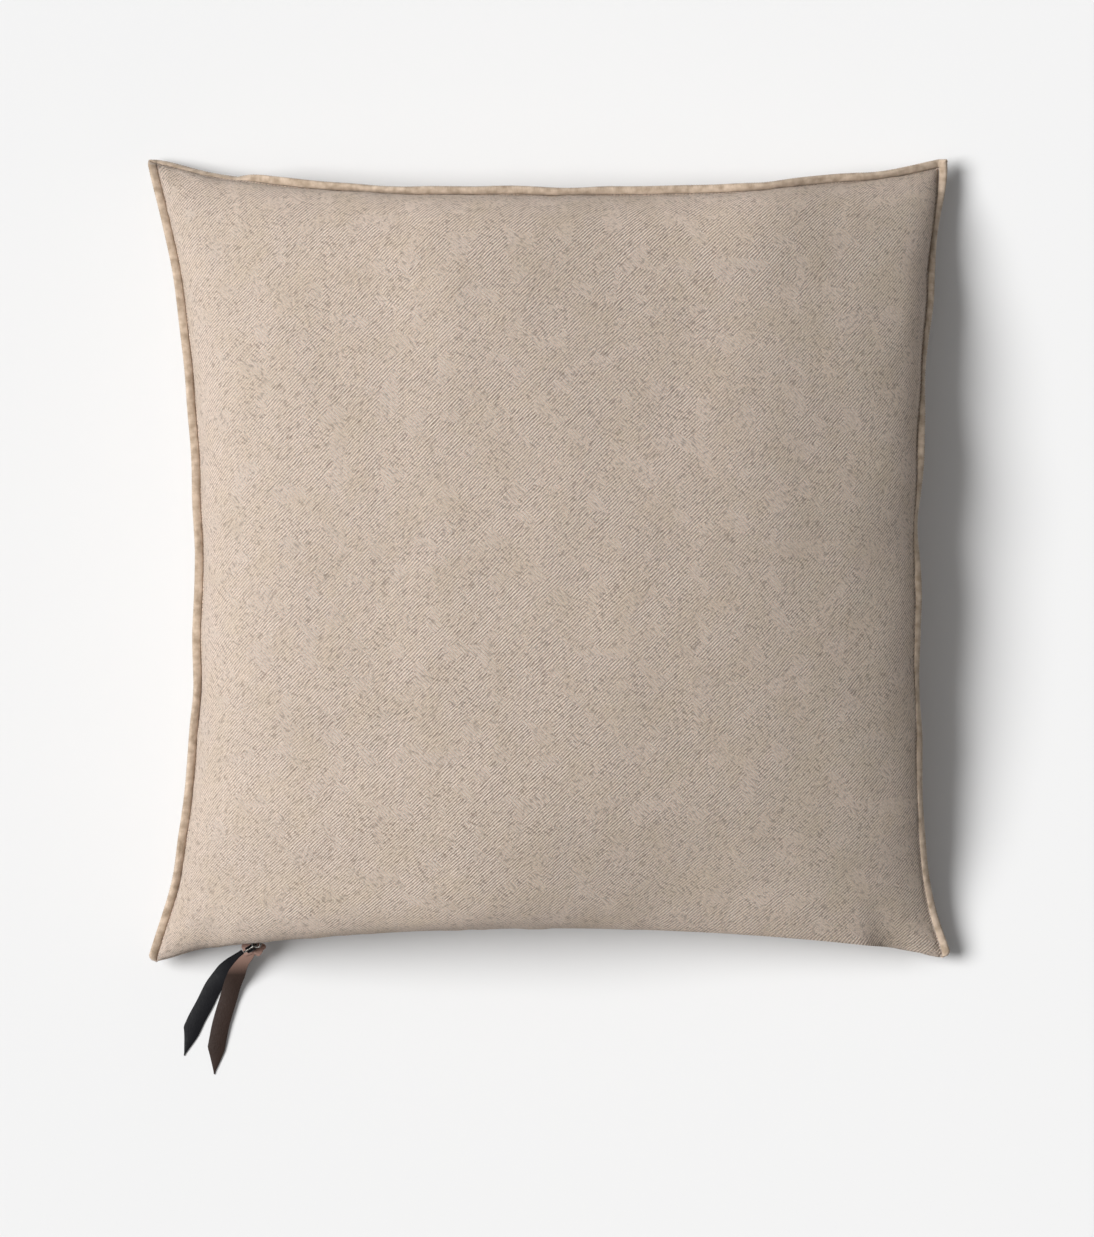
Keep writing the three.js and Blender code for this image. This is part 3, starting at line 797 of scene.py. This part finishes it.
def settle(mesh, face, read):
    points = readVectors(mesh.vertices, "co")
    normals = readVectors(mesh.vertex_normals, "vector")
    edge = np.minimum.reduce([read["gapLeft"], read["gapRight"], read["gapRear"], read["gapFront"]])
    inside = np.clip(edge / feel["flatRim"], 0, 1)
    long, short = feel["puckerRates"]
    for k, point in enumerate(points):
        if edge[k] <= 0:
            continue
        u, v = read["clothU"][k], read["clothV"][k]
        push = feel["lump"] * inside[k] * ripple(u * feel["lumpRate"], v * feel["lumpRate"], face * 3.1)
        push += feel["dimple"] * inside[k] * ripple(u * feel["dimpleRate"], v * feel["dimpleRate"], 8.8)
        for key, run in (("gapLeft", v), ("gapRight", v), ("gapRear", u), ("gapFront", u)):
            gap = read[key][k]
            if gap < feel["puckerEnd"]:
                fold = ripple(run * long, gap * 8, 4.4 + 7 * ord(key[3]))
                fold += 0.6 * ripple(run * short, gap * 12, 9.1)
                fold *= math.exp(-gap / feel["puckerReach"]) * min(1, gap / feel["stitchGrip"])
                push += feel["pucker"] * fold
        points[k] = point + normals[k] * push
    points[:, 2] = np.maximum(points[:, 2], cover["cloth"] * 0.02)  # just off the floor
    writePoints(mesh, points)


# The overlock stitches round the allowance

edging = {
    "start": 1.0 * mm,  # stitch line to the first thread
    "reach": 7.3 * mm,
    "thickness": 0.85 * mm,  # thread over the cloth
    "pitch": 2.1 * mm,
    "ridge": 0.42 * mm,
    "slant": 0.28,
    "columns": 4,  # for each stitch
    "cornerStitches": 3,
    "length": 0.64,
    "fray": 0.12 * mm,
    "join": (0.5 * mm, -0.028, 0.004),  # where the rear stitching ends: height, place, width
    "room": 0.02 * mm,
    # The thread's loop round the allowance: how far out and how high, as shares
    "loop": [(0, 0), (0.12, 0.7), (0.35, 1), (0.6, 1), (0.82, 0.95), (0.97, 0.7), (1.03, 0.0)],
    "inside": [(0, -1), (4 / 9, -1), (1, -1), (1, 1), (4 / 9, 1), (0, 1)],
}
# Where a side's stitching turns a rear corner: the other side, its t there, and the end it is on.
cornersOf = {
    "left": [("rear", -1.0, -1)],
    "right": [("rear", 1.0, -1)],
    "rear": [("left", 1.0, 0), ("right", 1.0, -1)],
}


def addEdging(side, finish):
    count = round(edging["length"] / edging["pitch"]) * edging["columns"]
    layer = cover["layer"] + edging["room"]
    section = edging["loop"] + [(a, -b) for a, b in edging["loop"][-2::-1]]
    inner, start = edging["inside"], edging["start"]
    seam, out, up = allowanceFrame(side, np.linspace(-1, 1, count + 1))
    turn = edging["cornerStitches"] * edging["columns"]
    for other, at, last in cornersOf[side]:
        across = allowanceFrame(other, np.array([at]))[1]
        share = np.arange(1, turn + 1)[:, None] / turn
        fan = out[[last]] + across * share
        grow = (np.repeat(seam[[last]], turn, 0), fan, np.repeat(up[[last]], turn, 0))
        pairs = zip(grow, (seam, out, up))
        seam, out, up = (np.concatenate([new[::-1], old] if last == 0 else [old, new]) for new, old in pairs)
    count = len(seam) - 1
    seam = tipped(seam)
    bulge, joinAt, wide = edging["join"]
    width = edging["reach"] - start
    rows = len(section) + len(inner)

    def place(column, row):
        row %= rows
        if row < len(section):
            share, high = section[row]
            run = column / edging["columns"] + edging["slant"] * share * 3 * (1 if high >= 0 else -1)
            ridge = abs(math.sin(math.pi * run)) ** 0.7 * edging["ridge"] * min(1, abs(high) + share ** 4)
            fray = edging["fray"] * ripple(column * 0.9, row * 1.3, seeds[side])
            join = bulge * math.exp(-((seam[column][0] - joinAt) / wide) ** 2) if side == "rear" else 0
            rise = abs(high) * (layer + edging["thickness"]) if row not in (0, len(section) - 1) else layer
            rise = rise + (ridge + fray + join if abs(high) > 0.1 else 0)
            reach = start + width * share + (ridge + fray if share > 0.9 else 0)
            sign = 1 if row < len(section) / 2 else -1
            return Vector(seam[column] + out[column] * reach + up[column] * rise * sign)
        share, sign = inner[row - len(section)]
        play = 0.05 * mm
        reach = start + play + (cover["allowance"] + play - start) * share
        return Vector(seam[column] + out[column] * reach + up[column] * (layer + 0.01 * mm) * sign)

    shape = mappedGrid(count, rows, place, closed=True, capped=True)
    addPiece("edging_" + side + "_stitches", shape, finish, "cover", ["edging_" + side])


# The feather insert inside: one closed padded bag

insert = {"scale": 0.955, "centre": (0, 0, 0.072), "cells": 40}


def addInsert(finish):
    cells = insert["cells"]
    steps = rimSteps(cells)
    centre = np.array(insert["centre"])
    halves = []
    for face in (1, -1):
        inner = (facePoints(steps, steps, face, 0) - centre) * insert["scale"] + centre
        if face > 0:
            rim = inner.copy()
        else:
            for edge in (np.s_[0], np.s_[-1], np.s_[:, 0], np.s_[:, -1]):
                inner[edge] = rim[edge]
        halves.append(mappedGrid(cells, cells, lambda i, j: Vector(inner[i, j])))
    bmesh.ops.reverse_faces(halves[1], faces=halves[1].faces)
    bag = joinShapes(halves)
    bmesh.ops.remove_doubles(bag, verts=bag.verts, dist=1e-6)
    nodes = ["insert_case_top", "insert_case_bottom", "insert_filling"]
    made = addPiece("feather_insert", bag, finish, "cover", nodes)
    smooth = made.modifiers.new("smooth", "SUBSURF")
    smooth.levels = smooth.render_levels = 1


# The zip: tapes, teeth and stops

zipper = {
    "half": 0.248,
    "set": -1.9 * mm,  # mid plane of the tape, behind the cloth's face
    "tape": (4.3 * mm, 15.6 * mm),
    "tapeWall": 0.6 * mm,
    "tapePast": 6 * mm,  # the tape runs on past the teeth
    "steps": 120,
    "bead": 0.75 * mm,
    "beadIn": 0.2 * mm,
    "pitch": 2.2 * mm,
    "tooth": (1.05 * mm, 4.6 * mm, 2.7 * mm),
    "toothEdge": 0.22 * mm,
    "endStop": (3 * mm, 8.4 * mm, 3 * mm),
    "topStop": (2.6 * mm, 2.8 * mm, 3 * mm),
    "topStopSide": 2.75 * mm,
    "tip": -0.45 * mm,  # how far a tooth passes the middle
    "stop": 3.0 * mm,
}


def localFrame(run, across=0.0):
    _, along, upward, facing = zipDirections(run)
    turn = Matrix((along, upward, facing)).transposed().to_4x4()
    return Matrix.Translation(Vector(onZip(run, across, zipper["set"]))) @ turn


# Frames for a strip that runs beside the teeth.
def besideTeeth(across):
    end = zipper["half"] + zipper["tapePast"]
    frames = []
    for run in np.linspace(-end, end, zipper["steps"]):
        at = onZip(run, across, zipper["set"])
        frames.append(tuple(Vector(part) for part in (at, *zipDirections(run)[2:])))
    return frames


def addZip(tapeFinish, metal):
    inner, outer = zipper["tape"]
    flat, bead = stripSection(outer - inner, zipper["tapeWall"]), roundSection(zipper["bead"], 6)
    for name, face in (("upper", 1), ("lower", -1)):
        strip = sweptBody(besideTeeth(face * (inner + outer) / 2), lambda k: flat)
        roll = sweptBody(besideTeeth(face * (inner - zipper["beadIn"])), lambda k: bead)
        addPiece("zip_tape_cloth_" + name, joinShapes([strip, roll]), tapeFinish,
                 "cover", ["zip_tape_" + name])
        addPiece("zip_teeth_" + name, teeth(face), metal, "cover",
                 ["zip_chain_" + name, "zip_top_stop_" + name], sharp=40)
    stop = blockShape(zipper["endStop"], 0.6 * mm)
    bmesh.ops.transform(stop, verts=stop.verts, matrix=localFrame(zipper["half"] - zipper["stop"] / 2))
    addPiece("zip_end_stop", stop, metal, "cover", ["zip_bottom_stop"], sharp=40)


def teeth(face):
    long = zipper["tooth"][1]
    tooth = blockShape(zipper["tooth"], 0)
    for vert in tooth.verts:
        if vert.co.y * face < 0:  # the tongue is thinner than the clamp
            vert.co.z *= 0.7
    soften(tooth, tooth.edges, zipper["toothEdge"], 1)
    one = bpy.data.meshes.new("tooth")
    tooth.to_mesh(one)
    tooth.free()
    row = bmesh.new()
    reach = zipper["half"] - zipper["stop"] - 0.6 * mm
    shift = 0 if face > 0 else zipper["pitch"] / 2
    middle = face * (zipper["tip"] + long / 2)
    for k in range(int(2 * reach / zipper["pitch"])):
        run = -reach + 0.6 * mm + shift + k * zipper["pitch"]
        before = len(row.verts)
        row.from_mesh(one)
        row.verts.ensure_lookup_table()
        bmesh.ops.transform(row, verts=row.verts[before:], matrix=localFrame(run, middle))
    bpy.data.meshes.remove(one)
    stop = blockShape(zipper["topStop"], 0)
    at = localFrame(zipper["stop"] / 2 - zipper["half"], face * zipper["topStopSide"])
    bmesh.ops.transform(stop, verts=stop.verts, matrix=at)
    return joinShapes([row, stop])


# The slider and its ring

slider = {
    "run": -0.2376,
    "length": 14 * mm,
    "halfWidth": 5.4 * mm,
    "plateInside": 1.9 * mm,
    "plate": 1.4 * mm,
    "bridgeSpan": 5.2 * mm,
    "bridgeRoom": 3.0 * mm,
    "bridgeBar": 1.4 * mm,
    "bridgeWidth": 2.6 * mm,
    "bite": 0.4 * mm,  # how far joined pieces run into each other
}
# The plate's outline: shares of its half length and half width
sliderOutline = [(-1, -0.62), (-0.72, -0.9), (-0.35, -1), (0.3, -1), (0.7, -0.9), (1, -0.72)]
ring = {"wire": 1.6 * mm, "length": 13.2 * mm, "width": 8 * mm, "bend": 2.2 * mm, "heading": 66}


def sliderPlate(low, high):
    half, wide = slider["length"] / 2, slider["halfWidth"]
    outline = sliderOutline + [(x, -y) for x, y in reversed(sliderOutline)]
    shape = bmesh.new()
    base = shape.faces.new([shape.verts.new((x * half, y * wide, low)) for x, y in outline])
    grown = bmesh.ops.extrude_face_region(shape, geom=[base])["geom"]
    top = [item for item in grown if isinstance(item, bmesh.types.BMVert)]
    bmesh.ops.translate(shape, verts=top, vec=(0, 0, high - low))
    bmesh.ops.recalc_face_normals(shape, faces=shape.faces)
    rims = [edge for edge in shape.edges if abs(edge.verts[0].co.z - edge.verts[1].co.z) < 1e-7]
    soften(shape, rims, 0.45 * mm, 3)
    return shape


# A block between two opposite corners.
def blockBetween(one, other, bevel):
    one, other = Vector(one), Vector(other)
    shape = blockShape([abs(gap) for gap in other - one], bevel)
    bmesh.ops.translate(shape, verts=shape.verts, vec=(one + other) / 2)
    return shape


def addSlider(metal):
    inside, plate, bite = slider["plateInside"], slider["plate"], slider["bite"]
    outside = inside + plate
    half, wide = slider["length"] / 2, slider["halfWidth"]
    shapes = [sliderPlate(inside, outside), sliderPlate(-outside, -inside)]
    a, b = (0.6 * mm - half, -0.9 * mm, -inside - bite), (2.8 * mm - half, 0.9 * mm, inside + bite)
    shapes.append(blockBetween(a, b, 0.2 * mm))  # the post between the plates
    for side in (-1, 1):  # the plates' rims
        for face in (-1, 1):
            a = (3.2 * mm - half, side * (wide - 0.8 * mm), face * 0.75 * mm)
            b = (half - 5.2 * mm, side * wide, face * (inside + bite))
            shapes.append(blockBetween(a, b, 0.15 * mm))
    reach = slider["bridgeSpan"] / 2 + slider["bridgeBar"] / 2
    top = outside + slider["bridgeRoom"] + slider["bridgeBar"] / 2
    rising = [(-reach, outside - bite), (-reach, outside + 1.6 * mm), (-reach * 0.75, top - 0.5 * mm)]
    bridge = rising + [(0, top)] + [(-x, z) for x, z in reversed(rising)]
    corners = [Vector((x, 0, z)) for x, z in bridge]
    arch = framesAlong(smoothLine(corners, 25), Vector((0, 1, 0)))
    section = stripSection(slider["bridgeBar"], slider["bridgeWidth"])
    shapes.append(sweptBody(arch, lambda k: section))
    shape = joinShapes(shapes)
    bmesh.ops.transform(shape, verts=shape.verts, matrix=localFrame(slider["run"]))
    addPiece("zip_slider_body", shape, metal, "slider", ["zip_slider"], sharp=35)


# The ring hangs from the bridge, and everything after it is placed from the ring.
def ringDirections():
    at = localFrame(slider["run"])
    along, across, out = (at.to_3x3().col[k].copy() for k in range(3))
    heading = math.radians(ring["heading"])
    away = out * math.cos(heading) - along * math.sin(heading)
    pivot = at.translation + out * (slider["plateInside"] + slider["plate"] + slider["bridgeRoom"] / 2)
    return pivot, away, across, away.cross(across)


def addRing(metal):
    pivot, away, across, through = ringDirections()
    wire = ring["wire"]
    bend = ring["bend"]
    near, far, side = bend, ring["length"] - wire - bend, (ring["width"] - wire) / 2 - bend
    points = []
    for cx, cy, start in ((far, side, 0), (near, side, 90), (near, -side, 180), (far, -side, 270)):
        for k in range(7):
            turn = math.radians(start + 90 * k / 6)
            points.append(pivot + away * (cx + bend * math.cos(turn)) + across * (cy + bend * math.sin(turn)))
    frames = []
    for k, point in enumerate(points):
        ahead = points[(k + 1) % len(points)] - points[k - 1]
        frames.append((point, ahead.cross(through).normalized(), through))
    shape = sweptBody(frames, lambda k: roundSection(wire / 2, 10), loop=True)
    addPiece("pull_ring_wire", shape, metal, "ring", ["pull_ring"])


# The leather tie: a loop on the ring, a knot, and two pointed tails

tie = {
    "leather": 1.4 * mm,
    "loopWidth": 5.6 * mm,
    "loopPlay": 0.4 * mm,
    "loopDrop": 7 * mm,
    "loopTuck": 1.5 * mm,  # how far the loop's ends run into the knot
    "knotDrop": 5.8 * mm,
    "knotHalf": (9.8, 4.2, 4.6),
    # Each wrap's turn and lean, its width, its two radii, and its shift along the knot, in millimetres
    "wraps": [(0.32, 0.2, 7.4, 4.6, 5.0, -4.6), (-0.45, -0.3, 7.0, 4.4, 4.8, 3.4)],
    "tailWidth": 14 * mm,
    "neck": 7 * mm,
    "shoulder": 26 * mm,  # where a tail reaches its full width
    "point": 20 * mm,
    "cup": 0.35 * mm,
    "cupReach": 20 * mm,
    "steps": 48,
    "pathStop": 4 * mm,  # the declared line ends this far before the tip
}
# Steps from the knot's middle in x and y, and heights over the floor, in millimetres
blackRoute = [
    (-8, -5, 19), (-13.5, -9.5, 14), (-19.5, -15, 7), (-26.8, -24, 2), (-33.3, -33, 0.9),
    (-39.8, -46, 0.9), (-46.3, -58, 0.9), (-51.8, -69.5, 0.9), (-61.4, -84.3, 0.9),
]
brownRoute = [
    (-1.5, -3.5, 25), (-4.5, -7.5, 23), (-8.5, -12, 20), (-12.5, -19, 13.5), (-17, -29, 7),
    (-20.5, -41, 3.8), (-24.2, -53, 3.3), (-27.4, -65, 2.9), (-31.2, -84.6, 1.4), (-35.6, -101.7, 0.9),
]


# Where the loop hangs and where the knot is, with the ring's directions.
def tiePlaces():
    pivot, away, across, through = ringDirections()
    middle = ring["length"] - ring["wire"] * 1.5 - tie["loopWidth"] / 2 - tie["loopPlay"]
    wireLevel = -(ring["width"] - ring["wire"]) / 2
    hang = pivot + away * middle + across * wireLevel
    knot = hang - across * (tie["loopDrop"] + tie["knotDrop"])
    return hang, knot, away, across, through


def addTail(name, route, finish, node, knot, tipAside):
    corners = [Vector((knot.x + x * mm, knot.y + y * mm, z * mm)) for x, y, z in route]
    points = smoothLine(corners, tie["steps"] + 1)
    length = sum((b - a).length for a, b in zip(points, points[1:]))
    frames = framesAlong(points, Vector((0, 0, 1)))

    def sectionAt(k):
        run = length * k / tie["steps"]
        width = tie["neck"] + (tie["tailWidth"] - tie["neck"]) * min(1, run / tie["shoulder"]) ** 1.2
        width *= max(0.05, min(1, (length - run) / tie["point"]))
        cup = tie["cup"] * math.exp(-run / tie["cupReach"])
        aside = tipAside * mm * max(0, 1 - (length - run) / tie["point"])
        return [(a + aside, b + cup * (2 * a / width) ** 2) for a, b in stripSection(width, tie["leather"])]

    piece = addPiece(name, sweptBody(frames, sectionAt), finish, "tie", [node], sharp=50)


def addTie(black, brown):
    hang, knot, away, across, through = tiePlaces()
    inside = ring["wire"] / 2 + tie["loopPlay"] + tie["leather"] / 2
    drop = tie["loopDrop"] + tie["loopTuck"]
    points = [hang - through * inside - across * (drop * (1 - k / 6)) for k in range(6)]
    for k in range(13):
        turn = math.pi * k / 12
        points.append(hang - through * inside * math.cos(turn) + across * inside * math.sin(turn))
    points += [hang + through * inside - across * (drop * (k + 1) / 6) for k in range(6)]
    strip = stripSection(tie["loopWidth"], tie["leather"])
    frames = []
    for k, point in enumerate(points):
        ahead = (points[min(k + 1, len(points) - 1)] - points[max(k - 1, 0)]).normalized()
        frames.append((point, away, ahead.cross(away)))
    loop = sweptBody(frames, lambda k: strip)
    addPiece("tie_hanging_loop", loop, black, "tie", ["tie_loop"], sharp=50)
    addPiece("tie_knot_wraps", knotShape(knot), brown, "tie", ["tie_knot"], sharp=60)


# Two turns of strap over a folded core.
def knotShape(knot):
    core = bmesh.new()
    bmesh.ops.create_uvsphere(core, u_segments=24, v_segments=14, radius=1)
    for vert in core.verts:
        crease = 0.12 * ripple(vert.co.x * 2.2, vert.co.y * 2.2, vert.co.z * 3.3)
        vert.co = vert.co * Vector(tie["knotHalf"]) * (1 + crease) * mm + knot
    wraps = [core]
    for turn, lean, wide, rx, rz, shift in tie["wraps"]:
        axis = Vector((math.cos(lean) * math.cos(turn), math.sin(turn), math.sin(lean))).normalized()
        sideA = axis.cross(Vector((0, 0, 1))).normalized()
        sideB = axis.cross(sideA)
        frames = []
        for k in range(28):
            angle = 2 * math.pi * k / 28
            toA, toB = sideA * math.cos(angle), sideB * math.sin(angle)
            point = knot + (axis * shift + toA * rx + toB * rz) * mm
            normal = (toA / rx + toB / rz).normalized()
            frames.append((point, axis, normal))
        section = stripSection(wide * mm, tie["leather"])
        wraps.append(sweptBody(frames, lambda k: section, loop=True))
    return joinShapes(wraps)


# Making everything

addStudio()
print("studio ready")

blackLeather = leatherMaterial("blackLeather", (11, 11, 13), (22, 22, 25), 0.5, 0.6)
# the brown tail's pale end near the knot is a painted highlight
brownLeather = leatherMaterial("brownLeather", (34, 26, 22), (50, 38, 33), 0.54, 1.0,
                               ((146, 116, 104), -0.335, -0.318))
# a lighter copy of the brown leather for the knot's wraps: painted light, the strap as it looks where the key
# light falls
litBrownLeather = leatherMaterial("litBrownLeather", (128, 98, 88), (176, 142, 130), 0.6, 1.0)
knotPlace = tiePlaces()[1]
addTail("tie_black_tail", blackRoute, blackLeather, "tie_tail_black", knotPlace, -6.0)
addTail("tie_brown_tail", brownRoute, brownLeather, "tie_tail_brown", knotPlace, -3.5)
addTie(blackLeather, litBrownLeather)
print("leather tie ready")

gunmetal = metalMaterial("gunmetal", (70, 68, 65), (132, 130, 125), 0.34)
bright = metalMaterial("ringMetal", (72, 69, 66), (150, 147, 141), 0.22)
addSlider(gunmetal)
addRing(bright)
tapeCloth = plainCloth("zipTape", paint(164, 148, 130), paint(120, 104, 88), 5200)
addZip(tapeCloth, gunmetal)
print("zip ready")

linenFinish = linenMaterial()
coverFace("cover_upper_cloth", 1, linenFinish, "cover_top_panel")
coverFace("cover_lower_cloth", -1, linenFinish, "cover_bottom_panel")
print("cover ready")

threadFinish = threadMaterial()
for sideName in outward:
    addEdging(sideName, threadFinish)
addInsert(plainCloth("insertCloth", paint(238, 235, 228), paint(214, 209, 198), 9000))
print("edging and insert ready")

floorShape = bmesh.new()
bmesh.ops.create_grid(floorShape, x_segments=1, y_segments=1, size=studio["floorHalf"])
# the floor's glow is painted light that lightens its shadows
floorFinish = Recipe("floor", (studio["floorTone"],) * 3, 1.0, Specular_IOR_Level=0.0,
                     Emission_Color=(1, 1, 1, 1), Emission_Strength=studio["floorGlow"]).finish
floor = addPiece("floor", floorShape, floorFinish, None)
